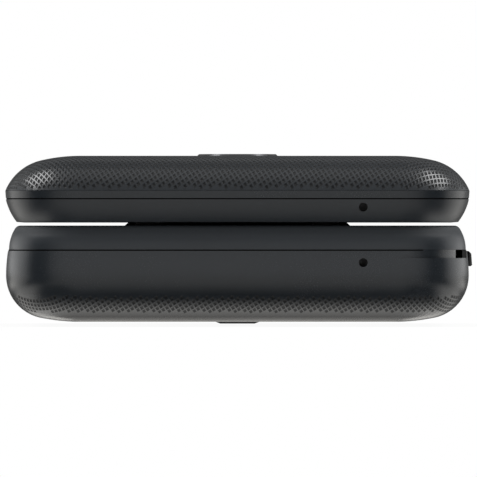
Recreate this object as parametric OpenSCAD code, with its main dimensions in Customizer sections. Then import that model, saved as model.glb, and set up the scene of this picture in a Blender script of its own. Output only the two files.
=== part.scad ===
// Clamshell flip phone, closed and lying on its back. The free end faces -Y, the
// hinge is at +Y, and the lid is on top. Millimetres, +Z up, origin at the centre
// of the flat back that the phone rests on.

/* [Overall size] */
// Length from the free end to the hinge end
body_l = 105; // [102:1:112]
// Width across the crease of the lid
body_w = 52.6; // [51.6:0.2:56]
// Plan radius of the corners, which is also the reach of the rounded edges
corner_r = 8.5; // [8.2:0.1:9.2]
// How far the base stands inside the outline of the lid
base_inset = 0.1; // [0:0.05:0.2]
// Thickness of the two outer covers
cover_wall = 1.2; // [1.1:0.05:1.3]
// Depth that the crown of a cover falls before its shoulder turns down
crown_fall = 0.36; // [0.3:0.02:0.46]

/* [Base half] */
// Thickness of the base, from the flat back to the keypad face
base_t = 10.9; // [10.7:0.1:11.6]
// Height of the parting line between back cover and front housing
back_h = 8.18; // [8:0.02:8.3]
// Height of the widest line of the back cover
bulge_z = 5.25; // [5.1:0.05:5.6]
// How far the back cover leans in again, from its widest line to its top edge
back_lean = 0.22; // [0.1:0.02:0.3]
// Width of the dark line where two shells meet
parting_gap = 0.14; // [0.1:0.02:0.16]
// Step in from the back cover to the front housing
parting_step = 0.12; // [0:0.02:0.2]
// Radius of the wall of the front housing, in section
front_wall_r = 4.5; // [4:0.1:5]
// Radius of the top edge of the front housing
front_edge_r = 0.7; // [0.5:0.05:0.9]
// Thickness of the keypad face
front_plate = 1.3; // [1.2:0.05:1.4]

/* [Lid half] */
// Open gap between the closed halves
lid_gap = 0.4; // [0.35:0.05:0.6]
// Thickness of the lid
lid_t = 7.5; // [7.4:0.1:8]
// Depth of the crease below the top of the lid
crease_drop = 4; // [3.95:0.05:4.2]
// Slope of the shoulder at the crease
crease_angle = 68; // [65:1:70]
// Height of the lid frame, from its face to the parting line
frame_h = 2.7; // [2.6:0.05:2.8]
// Radius of the wall of the lid frame, in section
frame_r = 6.5; // [6:0.1:7]
// Lean of the lid frame's wall at the parting line
frame_lean = 13; // [10:1:16]
// Step in from the crease to the parting line
rim_inset = 0.08; // [0.04:0.02:0.16]
// Thickness of the lid frame's face
frame_plate = 1.25; // [1.2:0.05:1.3]

/* [Hinge] */
// Distance of the hinge axis from the hinge end
hinge_inset = 3.5; // [3.4:0.05:3.6]
// Width of the base's knuckle, between the ears of the lid
knuckle_w = 25.7; // [24:0.1:26.2]
// Radius of the knuckle
knuckle_r = 3.4; // [3.3:0.05:3.45]
// Extra width of the knuckle's foot on each side
knuckle_flare = 0.45; // [0.2:0.05:0.5]
// Side play between the knuckle and each ear
ear_play = 0.35; // [0.25:0.05:0.45]
// Radius of the hollow hinge pin
pin_r = 1; // [0.9:0.05:1.1]
// Length of the pin in the ear, and again in the knuckle
pin_reach = 4.4; // [4:0.2:5]
// Radius of the spring capsule in the knuckle
can_r = 2.5; // [2.4:0.05:2.6]
// Turns of the hinge spring
spring_turns = 8; // [6:1:9]

/* [Keypad] */
// Distance from the side of the base to the outer keys
keypad_side = 5; // [4.6:0.1:6]
// Distance from the free end to the lowest keys
keypad_free = 9.9; // [9.5:0.1:12]
// Distance from the hinge axis to the navigation ring
keypad_hinge = 21; // [20:0.5:24]
// Gap between neighbouring keys
key_gap = 1.4; // [1.3:0.1:2.4]
// Gap above and below the clear key
row_gap = 2.75; // [2:0.05:3.5]
// Width of the clear key
clear_w = 12; // [9:0.5:14]
// Length of the clear key
clear_l = 6.4; // [5:0.1:7]
// Corner radius of a key
key_r = 1.6; // [1:0.1:2]
// Travel of a key
key_travel = 0.25; // [0.15:0.05:0.3]
// Radius of the navigation ring
nav_r = 11; // [10:0.25:11.5]
// Radius of the select key inside the ring
ok_r = 4; // [3.5:0.25:4.5]
// Play round each key in its opening
key_play = 0.15; // [0.1:0.05:0.2]

/* [Displays] */
// Distance from the side of the lid to the main display's window
bezel_side = 3.1; // [2.9:0.1:4]
// Distance from the free end to that window
bezel_free = 13.5; // [13:0.5:18]
// Distance from the hinge axis to that window
bezel_hinge = 16; // [14:0.5:20]
// Distance from the side of the lid to the outer display's window
outer_side = 8.8; // [8:0.2:12]
// Length of the outer display's window
outer_l = 27; // [24:0.5:30]
// Gap between the outer display's window and the camera's ring
outer_gap = 3.75; // [3:0.05:6]
// Distance from the hinge axis to the camera
camera_hinge = 13; // [12:0.5:15]
// Radius of the camera's ring
camera_r = 4.75; // [4:0.05:5]
// Height of the camera's ring above the lid
camera_rise = 0.5; // [0.4:0.05:0.6]

/* [Ports and openings] */
// Distance of both microphone holes from the middle
mic_x = 14.2; // [12:0.1:15]
// Radius of the microphone holes
mic_r = 0.5; // [0.4:0.05:0.6]
// Height of the base's microphone hole
mic_z = 6.7; // [6.4:0.05:6.75]
// Bore radius of the headset jack
jack_r = 1.75; // [1.7:0.05:1.8]
// Depth of the headset jack's bore
jack_l = 12; // [11:0.5:12.5]
// Width of the charging port's shell
port_w = 8.94; // [8:0.02:9.2]
// Length of the volume rocker
rocker_l = 15; // [12:0.5:17]
// Height of the volume rocker
rocker_h = 1.75; // [1.5:0.05:1.8]
// How far the rocker stands out of the wall
rocker_out = 0.88; // [0.5:0.02:1]
// Width of the opening for a fingernail, at the corner of the back cover
nail_w = 1.25; // [1:0.05:1.6]
// Height of the fingernail scoop
nail_h = 0.8; // [0.6:0.05:1]
// Depth of the fingernail scoop
nail_depth = 0.5; // [0.4:0.05:0.6]
// Depth of the loudspeaker ridge below the back
ridge_h = 0.52; // [0.2:0.02:0.6]

/* [Battery] */
// Distance from the side of the base to the battery
battery_side = 10.2; // [9.8:0.1:12]
// Distance from the free end to the battery
battery_free = 28.5; // [28.5:0.5:32]
// Distance from the hinge axis to the battery
battery_hinge = 23; // [22:0.5:26]
// Thickness of the battery
battery_t = 4.7; // [4:0.1:4.75]

/* [Hidden] */
$fn = 48;
eps = 0.01;
// Clearance of a locating fit, of a seat, and of parts that move past each other
fit = 0.05;
seat = 0.04;
free = 0.3;
// Steps of the arcs in the section of a cover, in a satin wall, and round a plan corner
crown_steps = 4;
shoulder_steps = 9;
wall_steps = 20;
corner_steps = 9;

// Levels
lid_bottom = base_t + lid_gap;
lid_top = lid_bottom + lid_t;
lid_part = lid_bottom + frame_h;
crease_z = lid_top - crease_drop;
lid_ceiling = lid_top - cover_wall;
lid_floor = lid_bottom + frame_plate;
plate_z = base_t - front_plate;

// Plan of the base
base_w = body_w - 2 * base_inset;
base_l = body_l - 2 * base_inset;
base_x = base_w / 2 - corner_r;
base_y = base_l / 2 - corner_r;
free_y = -body_l / 2;

// Inner walls, measured in from each outline
frame_wall = 2.2;
lip_t = 0.65;
lip_h = 0.6;
rebate = 0.06;
front_wall = 2.2;
chassis_inset = front_wall + free;
chassis_wall = 0.9;

// Stack of the base, from the keypad face down to the battery
key_top = base_t - 0.1;
flange_t = 0.27;
flange_w = 0.5;
key_bottom = plate_z - seat - flange_t;
mat_t = 0.7;
mat_z = key_bottom - key_travel - fit - mat_t;
nav_play = 0.2;
dome_t = 0.2;
dome_z = mat_z - dome_t;
board_t = 0.8;
board_z = dome_z - board_t;
chassis_t = 0.7;
chassis_z = board_z - seat - chassis_t;
battery_z = chassis_z - seat - battery_t;

// Hinge axis and the turning circle of the ears
hinge_y = body_l / 2 - hinge_inset;
hinge_z = crease_z;
ear_r = hinge_inset + 0.02;
notch_r = knuckle_r + free;
notch_back = notch_r - 1.1;
notch_w = knuckle_w + 2 * ear_play;
boss_r = 1.9;
head_w = 1.7;
head_l = 1.2;
can_wall = 0.45;
shaft_r = 0.8;
cam_t = 1.6;
cam_r = can_r - can_wall - 0.1;
can_end = -0.6;
spring_wire = 0.25;
flex_r = 0.5;
flex_x = [can_end + 3, knuckle_w / 2 - pin_reach - 0.4];

// Features of the lid, along its length
window_w = body_w - 2 * bezel_side;
window_l = hinge_y - bezel_hinge - free_y - bezel_free;
display_y = (hinge_y - bezel_hinge + free_y + bezel_free) / 2;
display_t = 1.9;
panel_w = window_w - 0.8;
panel_l = window_l - 9;
lens_t = 0.7;
lens_r = 3;
camera_y = hinge_y - camera_hinge;
outer_w = body_w - 2 * outer_side;
outer_y = camera_y - camera_r - outer_gap - outer_l / 2;
outer_lens_t = 0.8;
camera_bore = 2.2;
camera_lens_r = 2.8;
earpiece_y = free_y + 7;
earpiece_w = 11;
earpiece_slot = 1.6;
lid_mic_z = lid_floor + 0.42;
lid_board_z = lid_floor + display_t + 0.1;
lid_board_t = 0.6;
lid_board_w = body_w - 10.6;
lid_board_y = [free_y + 12.5, hinge_y - 12];
bumper_x = 10;
bumper_r = 1.5;
bumper_pocket = 0.3;
screw_free = 6.1;
screw_hinge = 8.9;
lid_screw_x = body_w / 2 - 6;
base_screw_x = base_w / 2 - 6.8;
screws_y = [free_y + screw_free, hinge_y - screw_hinge];
lid_screws_at = [for (x = [-lid_screw_x, lid_screw_x], y = screws_y) [x, y]];
base_screws_at = [for (x = [-base_screw_x, base_screw_x], y = screws_y) [x, y]];
screw_r = 0.7;
head_r = 1.3;
post_r = 1.7;

// Keys: name, centre, width, length, corner radius
digit_names = ["1", "2", "3", "4", "5", "6", "7", "8", "9", "star", "0", "hash"];
pitch_x = (base_w - 2 * keypad_side + key_gap) / 3;
digit_w = pitch_x - key_gap;
nav_y = hinge_y - keypad_hinge - nav_r;
digits_top = nav_y - nav_r - clear_l - 2 * row_gap;
pitch_y = (digits_top - free_y - keypad_free + key_gap) / 4;
digit_l = pitch_y - key_gap;
digit_y = digits_top - digit_l / 2;
side_w = base_w / 2 - keypad_side - nav_r - key_gap;
side_x = nav_r + key_gap + side_w / 2;
side_l = nav_r - key_gap / 2;
side_pitch = side_l + key_gap;
digit_keys = [for (i = [0 : 11])
    [str("key_", digit_names[i]), [(i % 3 - 1) * pitch_x, digit_y - floor(i / 3) * pitch_y],
     digit_w, digit_l, key_r]];
side_keys = [for (s = [["soft_key_left", -1, 1], ["soft_key_right", 1, 1],
                       ["send_key", -1, -1], ["end_key", 1, -1]])
    [s[0], [s[1] * side_x, nav_y + s[2] * side_pitch / 2], side_w, side_l, key_r]];
clear_key = ["clear_key", [0, nav_y - nav_r - row_gap - clear_l / 2], clear_w, clear_l, key_r];
flat_keys = concat(digit_keys, side_keys, [clear_key]);

// Features of the base, along its length
battery_w = base_w - 2 * battery_side;
battery_l = hinge_y - battery_hinge - free_y - battery_free;
battery_y = (hinge_y - battery_hinge + free_y + battery_free) / 2;
well_wall = 0.8;
speaker_y = hinge_y - 11.5;
speaker_w = 15;
speaker_l = 11;
grille_w = 13;
grille_l = 5;
ridge_w = 4;
ridge_slope = 1.5;
ridge_l = 2.4;
jack_y = hinge_y - 14;
jack_z = 5.2;
jack_nose_r = jack_r + 0.4;
jack_mouth = -base_w / 2 + cover_wall + 1.15;
jack_hole_r = jack_nose_r + 0.35;
port_y = hinge_y - 37;
port_h = 3.26;
port_depth = 7.2;
port_wall = 0.3;
port_mouth = -base_w / 2 + cover_wall + 0.25;
port_z = board_z - seat - port_h;
rocker_y = hinge_y - 40;
rocker_z = back_h - parting_gap - rocker_h - 0.05;
rocker_flange = 0.5;
sim_w = 16;
sim_l = 11;
sim_t = 1.6;
motor_r = 4;
motor_t = 2.7;
rocker_x = base_w / 2 - cover_wall - 0.1 - free - rocker_flange;

key_names = [for (k = flat_keys) k[0]];

// Sections and outlines

// Points of an arc. Angles are measured from straight up towards +u.
function arc(c, r, a0, a1, n) =
    [for (i = [0 : n]) let (a = a0 + (a1 - a0) * i / n) c + r * [sin(a), cos(a)]];
function without_first(p) = [for (i = [1 : len(p) - 1]) p[i]];
function turned_back(p) = [for (i = [len(p) - 1 : -1 : 0]) p[i]];

// Edge of a crowned cover, from the middle of its flat out to its widest line. A shallow
// crown runs into a tighter shoulder. off moves the whole edge inwards.
function crowned_edge(drop, slope, off) =
    let (r = (drop - crown_fall) / (1 - cos(slope)),
         a = corner_r - r * sin(slope),
         turn = 2 * atan(crown_fall / a),
         far = a / sin(turn))
    concat(arc([0, -(r + far)], r + far - off, 0, turn, crown_steps),
           without_first(arc([a, -(r + crown_fall)], r - off, turn, slope, shoulder_steps)));

function lid_edge(off) = [for (p = crowned_edge(crease_drop, crease_angle, off)) [p.x, lid_top + p.y]];
function back_edge(off) = [for (p = crowned_edge(bulge_z, 90, off)) [p.x, -p.y]];
function last(p) = p[len(p) - 1];

// Wall of the lid frame, from the parting line down to its face
function frame_edge() =
    let (top = [corner_r - rim_inset, lid_part - parting_gap],
         c = top + frame_r * [-cos(frame_lean), sin(frame_lean)],
         low = asin((c.y - lid_bottom) / frame_r))
    arc(c, frame_r, 90 + frame_lean, 90 + low, wall_steps);

// Wall and top edge of the front housing, from the parting line up to the keypad face
function front_edge() =
    let (foot = corner_r - back_lean - parting_step,
         wall_c = [foot - front_wall_r, back_h],
         up = base_t - front_edge_r - back_h,
         between = front_wall_r - front_edge_r,
         edge_c = [wall_c.x + sqrt(between * between - up * up), base_t - front_edge_r],
         meet = acos(up / between))
    concat(arc(wall_c, front_wall_r, 90, meet, wall_steps),
           without_first(arc(edge_c, front_edge_r, meet, 0, crown_steps)));

// Wall of the back cover above its widest line
function lean_edge() =
    let (rise = back_h - parting_gap - bulge_z,
         r = (rise * rise + back_lean * back_lean) / (2 * back_lean),
         c = [corner_r - r, bulge_z])
    arc(c, r, 90, 90 - asin(rise / r), crown_steps);

// Rim of a cover: an open line at the outside, and behind it a lip that closes the joint
function rebated(edge, z) = [edge, [edge.x - rebate, edge.y], [edge.x - rebate, z], [0, z]];

function rounded_rect(w, l, r) =
    [for (q = [0 : 3], i = [0 : corner_steps])
        let (a = 90 * q + 90 * i / corner_steps,
             sx = (q == 0 || q == 3) ? 1 : -1,
             sy = q < 2 ? 1 : -1)
        [sx * (w / 2 - r) + r * cos(a), sy * (l / 2 - r) + r * sin(a)]];

// A solid of the given half section carried round a rounded rectangle. The section starts
// and ends on the line u = 0, which runs through the corner centres.
module carried_round(section, w, l) {
    x = w / 2 - corner_r;
    y = l / 2 - corner_r;
    across = concat([for (p = section) [x + p.x, p.y]],
                    [for (p = turned_back(section)) [-x - p.x, p.y]]);
    rotate([90, 0, 0]) linear_extrude(2 * y, center = true) polygon(across);
    for (s = [-1, 1])
        translate([0, s * y, 0]) rotate([0, 0, s * 90]) rotate([90, 0, 0])
            linear_extrude(2 * x, center = true) polygon(section);
    for (q = [0 : 3])
        translate([(q == 0 || q == 3) ? x : -x, q < 2 ? y : -y, 0]) rotate([0, 0, 90 * q])
            rotate_extrude(angle = 90) polygon(section);
}

module slab(w, l, r, z0, z1) {
    translate([0, 0, z0]) linear_extrude(z1 - z0) polygon(rounded_rect(w, l, r));
}

module block(x, y, z) {
    translate([x[0], y[0], z[0]]) cube([x[1] - x[0], y[1] - y[0], z[1] - z[0]]);
}

// A round bar along X, at a distance from the hinge axis
module bar_x(r, x0, x1) {
    translate([x0, hinge_y, hinge_z]) rotate([0, 90, 0]) cylinder(r = r, h = x1 - x0);
}

module hole_z(at, r, z0, z1) {
    translate([at.x, at.y, z0]) cylinder(r = r, h = z1 - z0);
}

// Lid

module lid_inside(off) {
    edge = lid_edge(cover_wall + off);
    carried_round(concat(edge, [[last(edge).x, lid_floor - eps], [0, lid_floor - eps]]), body_w, body_l);
}

// Space that the knuckle turns in, grown by off
module hinge_notch(off) {
    w = notch_w + 2 * off;
    bar_x(notch_r + off, -w / 2, w / 2);
    block([-w / 2, w / 2], [hinge_y - notch_back - off, body_l], [base_t, lid_top + 1]);
}

module lid_cover() {
    color("#37393b") difference() {
        union() {
            difference() {
                carried_round(concat(lid_edge(0), rebated([corner_r - rim_inset, lid_part],
                                                          lid_part - parting_gap + seat)), body_w, body_l);
                lid_inside(0);
            }
            for (at = lid_screws_at) intersection() {
                hole_z(at, post_r, lid_floor + seat, lid_top);
                lid_inside(-cover_wall / 2);
            }
        }
        hinge_notch(0);
        for (at = lid_screws_at) hole_z(at, screw_r + 0.02, lid_floor, lid_floor + 3);
        translate([0, outer_y, 0]) {
            slab(outer_w + 2 * fit, outer_l + 2 * fit, lens_r, lid_top - outer_lens_t, lid_top + 1);
            slab(outer_w - 3, outer_l - 3, lens_r - 1, lid_ceiling - 1, lid_top);
        }
        hole_z([0, camera_y], camera_r + fit, lid_top - 0.5, lid_top + 1);
        hole_z([0, camera_y], camera_bore, lid_ceiling - 2, lid_top);
    }
}

module lid_frame() {
    inner_w = body_w - 2 * frame_wall;
    inner_l = body_l - 2 * frame_wall;
    inner_r = corner_r - frame_wall;
    lip_w = inner_w + 2 * lip_t;
    lip_l = inner_l + 2 * lip_t;
    color("#2f3133") difference() {
        union() {
            difference() {
                union() {
                    carried_round(concat([[0, lid_part - parting_gap]], frame_edge(), [[0, lid_bottom]]),
                                  body_w, body_l);
                    slab(lip_w, lip_l, inner_r + lip_t, lid_part - 1, lid_part + lip_h);
                }
                slab(inner_w, inner_l, inner_r, lid_floor, lid_top);
            }
            // Wall that closes the lid round the knuckle
            intersection() {
                hinge_notch(1);
                lid_inside(2 * seat);
            }
            // Bosses that hold the shaft and the pin
            for (s = [-1, 1]) intersection() {
                x = s * (notch_w + pin_reach) / 2;
                union() {
                    bar_x(boss_r, x - pin_reach / 2 - eps, x + pin_reach / 2);
                    block([x - pin_reach / 2, x + pin_reach / 2],
                          [hinge_y - boss_r + 0.4, hinge_y + boss_r], [lid_floor - eps, hinge_z]);
                }
                lid_inside(2 * seat);
            }
        }
        hinge_notch(0);
        // Rounded underside of the ears, which clears the base as the lid turns
        difference() {
            block([-body_w, body_w], [hinge_y, body_l], [0, hinge_z]);
            bar_x(ear_r, -body_w, body_w);
        }
        bar_x(pin_r + fit / 2, 0, notch_w / 2 + pin_reach + 1);
        block([-notch_w / 2 - pin_reach - 1, 0],
              [hinge_y - head_l - fit, hinge_y + head_l + fit],
              [hinge_z - head_w / 2 - fit, hinge_z + head_w / 2 + fit]);
        translate([0, display_y, 0]) {
            slab(window_w + 2 * fit, window_l + 2 * fit, lens_r, 0, lid_bottom + lens_t + 2 * fit);
            slab(panel_w - 1.6, panel_l - 3, lens_r - 1, 0, lid_floor + eps);
        }
        translate([0, earpiece_y, 0])
            slab(earpiece_w, earpiece_slot, earpiece_slot / 2 - eps, 0, lid_floor + eps);
        translate([mic_x, free_y - 1, lid_mic_z]) rotate([-90, 0, 0]) cylinder(r = mic_r, h = 5);
        for (s = [-1, 1])
            hole_z([s * bumper_x, earpiece_y], bumper_r + fit, 0, lid_bottom + bumper_pocket);
        for (at = lid_screws_at) {
            hole_z(at, screw_r + 0.1, 0, lid_floor + eps);
            hole_z(at, head_r + 0.1, 0, lid_bottom + 0.75);
        }
    }
}

module outer_display_window() {
    color("#0b0d10") translate([0, outer_y, 0])
        slab(outer_w, outer_l, lens_r, lid_top - outer_lens_t + seat, lid_top - seat);
}

module outer_display_panel() {
    color("#1c2a33") translate([0, outer_y, 0])
        slab(outer_w - 1, outer_l - 1, 1, lid_ceiling - seat - 1.6, lid_ceiling - seat);
}

module camera_ring() {
    bevel = 0.25;
    top = lid_top + camera_rise;
    color("#5b5e62") translate([0, camera_y, 0]) rotate_extrude()
        polygon([[camera_lens_r + fit, lid_top - 0.5 + seat], [camera_r, lid_top - 0.5 + seat],
                 [camera_r, top - bevel], [camera_r - bevel, top],
                 [camera_lens_r + 2 * bevel, top], [camera_lens_r + fit, top - bevel]]);
}

module camera_lens() {
    color("#08090c") hole_z([0, camera_y], camera_lens_r, lid_top - 0.5 + seat,
                           lid_top + camera_rise - 0.35);
}

module camera_module() {
    foot = 7.6;
    barrel_z = lid_ceiling - 0.4;
    color("#15171a") difference() {
        union() {
            translate([0, camera_y, 0]) slab(foot, foot, 0.8, lid_floor + display_t + 0.1, barrel_z);
            hole_z([0, camera_y], camera_bore - free, barrel_z - eps, lid_top - 0.5 - seat);
        }
        hole_z([0, camera_y], 1.1, lid_top - 1.1, lid_top);
    }
}

module main_display_window() {
    color("#0a0c0f") translate([0, display_y, 0])
        slab(window_w, window_l, lens_r - fit, lid_bottom + fit, lid_bottom + fit + lens_t);
}

module main_display_panel() {
    color("#1d2b35") translate([0, display_y, 0])
        slab(panel_w, panel_l, 1, lid_floor + seat, lid_floor + display_t);
}

module earpiece_receiver() {
    color("#3a3c3f") translate([0, earpiece_y, 0])
        slab(14, 6.2, 1.4, lid_floor + 0.3 + seat, lid_floor + 2.6);
}

module earpiece_mesh() {
    holes = 9;
    step = (earpiece_w - 1.6) / (holes - 1);
    color("#6a6d70") difference() {
        translate([0, earpiece_y, 0])
            slab(earpiece_w + 1.4, earpiece_slot + 1.4, 1, lid_floor + seat, lid_floor + 0.3);
        for (i = [0 : holes - 1])
            hole_z([(i - (holes - 1) / 2) * step, earpiece_y], 0.35, 0, lid_top);
    }
}

module lid_circuit_board() {
    cut = camera_bore + 2.2;
    color("#1f4d33") difference() {
        translate([0, (lid_board_y[0] + lid_board_y[1]) / 2, 0])
            slab(lid_board_w, lid_board_y[1] - lid_board_y[0], 2, lid_board_z, lid_board_z + lid_board_t);
        block([-cut, cut], [camera_y - cut, camera_y + cut], [0, lid_top]);
    }
}

module lid_microphone() {
    back = free_y + frame_wall + seat;
    color("#8b8d90") difference() {
        block([mic_x - 1.6, mic_x + 1.6], [back, back + 1.9], [lid_floor + seat, lid_floor + 1.2]);
        translate([mic_x, back - eps, lid_mic_z]) rotate([-90, 0, 0]) cylinder(r = 0.15, h = 0.5);
    }
}

module lid_bumpers() {
    color("#1b1c1d") for (s = [-1, 1])
        hole_z([s * bumper_x, earpiece_y], bumper_r, base_t + lid_gap / 4,
               lid_bottom + bumper_pocket - seat);
}

module lid_screws() {
    head_z = lid_bottom + 0.75;
    color("#8d9093") for (at = lid_screws_at) difference() {
        union() {
            hole_z(at, screw_r, head_z - 0.5, lid_floor + 2.8);
            hole_z(at, head_r, head_z - 0.5, head_z - seat);
        }
        for (turn = [0, 90])
            translate([at.x, at.y, head_z - 0.5]) rotate([0, 0, turn]) cube([1.5, 0.3, 0.4], center = true);
    }
}

// Hinge

module hinge_shaft() {
    left = -knuckle_w / 2;
    color("#9a9c9e") {
        bar_x(shaft_r, left + cam_t - eps, can_end - 0.8);
        bar_x(cam_r, left, left + cam_t);
        block([-notch_w / 2 - pin_reach, left + eps],
              [hinge_y - head_l, hinge_y + head_l],
              [hinge_z - head_w / 2, hinge_z + head_w / 2]);
    }
}

module hinge_pin() {
    ear = notch_w / 2 + pin_reach;
    color("#9a9c9e") difference() {
        bar_x(pin_r, knuckle_w / 2 - pin_reach, ear - seat);
        bar_x(flex_r + 0.08, 0, ear + 1);
    }
}

module hinge_can() {
    left = -knuckle_w / 2;
    color("#b4b6b8") difference() {
        bar_x(can_r, left, can_end);
        bar_x(can_r - can_wall, left - 1, can_end - 0.6);
    }
}

module hinge_follower() {
    face = -knuckle_w / 2 + cam_t + 0.3;
    nose = 0.2;
    color("#a3a5a7") difference() {
        union() {
            bar_x(cam_r, face, face + 2);
            for (s = [-1, 1])
                block([face - nose, face + eps], [hinge_y - 0.3, hinge_y + 0.3],
                      [hinge_z + s * 1.35 - 0.35, hinge_z + s * 1.35 + 0.35]);
        }
        bar_x(shaft_r + 0.1, -knuckle_w, knuckle_w);
    }
}

// Coil spring as one swept tube round the shaft
module hinge_spring() {
    rings = 8 * spring_turns;
    sides = 6;
    coil_r = (shaft_r + can_r - can_wall) / 2;
    x0 = -knuckle_w / 2 + cam_t + 2.3 + seat + spring_wire;
    x1 = can_end - 0.6 - seat - spring_wire;
    points = [for (i = [0 : rings], j = [0 : sides - 1])
        let (t = 360 * spring_turns * i / rings, a = 360 * j / sides, r = coil_r + spring_wire * cos(a))
        [x0 + (x1 - x0) * i / rings + spring_wire * sin(a), hinge_y + r * cos(t), hinge_z + r * sin(t)]];
    walls = [for (i = [0 : rings - 1], j = [0 : sides - 1])
        let (a = i * sides + j, b = i * sides + (j + 1) % sides)
        each [[a, a + sides, b], [b, a + sides, b + sides]]];
    caps = [for (j = [1 : sides - 2]) each [[0, j, j + 1],
        [rings * sides, rings * sides + j + 1, rings * sides + j]]];
    color("#c2c4c6") polyhedron(points, concat(walls, caps));
}

// The ribbon that joins the two circuit boards is rolled up inside the hinge pin
module lid_flex() {
    z = [lid_board_z + lid_board_t + seat, lid_board_z + lid_board_t + 0.2];
    strip = 1.6;
    turn_x = notch_w / 2 + pin_reach + 0.1;
    bend_y = hinge_y - notch_r - 1 - free - strip;
    color("#a6662c") {
        bar_x(flex_r, knuckle_w / 2 - pin_reach - 0.3, turn_x + strip);
        block([turn_x, turn_x + strip], [bend_y, hinge_y], z);
        block([flex_x[1], turn_x + strip], [bend_y, bend_y + strip], z);
        block([flex_x[1], flex_x[1] + 2 * strip], [lid_board_y[1] - 2 * strip, bend_y + strip], z);
    }
}

module main_flex() {
    x = [flex_x[0] + 0.4, flex_x[1] - 0.4];
    color("#a6662c") {
        bar_x(flex_r, x[0], x[1]);
        block(x, [hinge_y - 0.1, hinge_y + 0.1], [board_z + board_t + seat, hinge_z]);
    }
}

// Base

module front_housing() {
    inner_w = base_w - 2 * front_wall;
    inner_l = base_l - 2 * front_wall;
    web = [hinge_y - 2.3, hinge_y + 2.9];
    w = knuckle_w / 2;
    foot = w + knuckle_flare;
    color("#33373a") difference() {
        union() {
            difference() {
                carried_round(concat([[0, back_h]], front_edge(), [[0, base_t]]), base_w, base_l);
                slab(inner_w, inner_l, corner_r - front_wall, 0, plate_z);
            }
            bar_x(knuckle_r, -w, w);
            block([-w, w], web, [plate_z - 0.7, hinge_z]);
            translate([0, web[1], 0]) rotate([90, 0, 0]) linear_extrude(web[1] - web[0])
                polygon([[-foot, plate_z], [foot, plate_z], [foot, base_t],
                         [w, lid_bottom], [-w, lid_bottom], [-foot, base_t]]);
            for (at = base_screws_at) hole_z(at, post_r, board_z - seat, plate_z + eps);
        }
        bar_x(can_r + fit, -w - 1, can_end + fit);
        bar_x(pin_r + fit, w - pin_reach - 0.2, w + 1);
        bar_x(1.6, 2, w - pin_reach - 0.1);
        block(flex_x, [hinge_y - 0.6, hinge_y + 0.6], [0, hinge_z]);
        for (at = base_screws_at) hole_z(at, screw_r + 0.02, 0, plate_z - 0.4);
        for (k = flat_keys) translate(k[1])
            slab(k[2] + 2 * key_play, k[3] + 2 * key_play, k[4] + key_play, 0, base_t + 1);
        hole_z([0, nav_y], nav_r + key_play, 0, base_t + 1);
    }
}

// Chassis that carries the board above and the battery below
module rear_frame() {
    w = base_w - 2 * chassis_inset;
    l = base_l - 2 * chassis_inset;
    r = corner_r - chassis_inset;
    low = bulge_z - sqrt(pow(bulge_z - crown_fall - cover_wall - free, 2)
                         - pow(corner_r - chassis_inset - (corner_r - bulge_z + crown_fall), 2));
    well_w = battery_w + 2 * free;
    well_l = battery_l + 2 * free;
    color("#26282a") difference() {
        union() {
            difference() {
                slab(w, l, r, low, plate_z - 0.8);
                slab(w - 2 * chassis_wall, l - 2 * chassis_wall, r - chassis_wall, 0, chassis_z);
                slab(w - 2 * chassis_wall, l - 2 * chassis_wall, r - chassis_wall,
                     chassis_z + chassis_t, lid_top);
            }
            translate([0, battery_y, 0]) difference() {
                slab(well_w + 2 * well_wall, well_l + 2 * well_wall, 1.4,
                     cover_wall + free, chassis_z + eps);
                slab(well_w, well_l, 0.6, 0, chassis_z);
            }
        }
        for (at = base_screws_at) hole_z(at, screw_r + 0.1, 0, lid_top);
        translate([mic_x, -base_l / 2, mic_z]) rotate([-90, 0, 0]) cylinder(r = mic_r + 0.1, h = 6);
        block([mic_x - 2, mic_x + 2], [-base_l / 2 + chassis_inset + chassis_wall, -base_l / 2 + 6.4],
              [0, chassis_z + chassis_t + eps]);
        block([-6, 6], [battery_y - battery_l / 2 - 6.4, battery_y - battery_l / 2 + free], [2, lid_top]);
        block([-base_w, port_mouth + port_depth + free],
              [port_y - port_w / 2 - free, port_y + port_w / 2 + free], [port_z - free, board_z]);
        block([-base_w, jack_mouth + jack_l + 1.2 + free], [jack_y - 3 - free, jack_y + 3 + free],
              [0, lid_top]);
        block([rocker_x - free, base_w], [rocker_y - rocker_l / 2 - 1.4, rocker_y + rocker_l / 2 + 1.4],
              [rocker_z - 0.6, lid_top]);
        block(flex_x, [hinge_y - 0.6, hinge_y + 0.6], [0, lid_top]);
    }
}

module back_inside(off) {
    edge = back_edge(cover_wall + off);
    inner = corner_r - back_lean - cover_wall + 0.14 - off;
    low = [for (p = edge) if (p.x < inner) p];
    carried_round(concat(low, [[inner, last(low).y], [inner, back_h + 1], [0, back_h + 1]]),
                  base_w, base_l);
}

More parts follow.
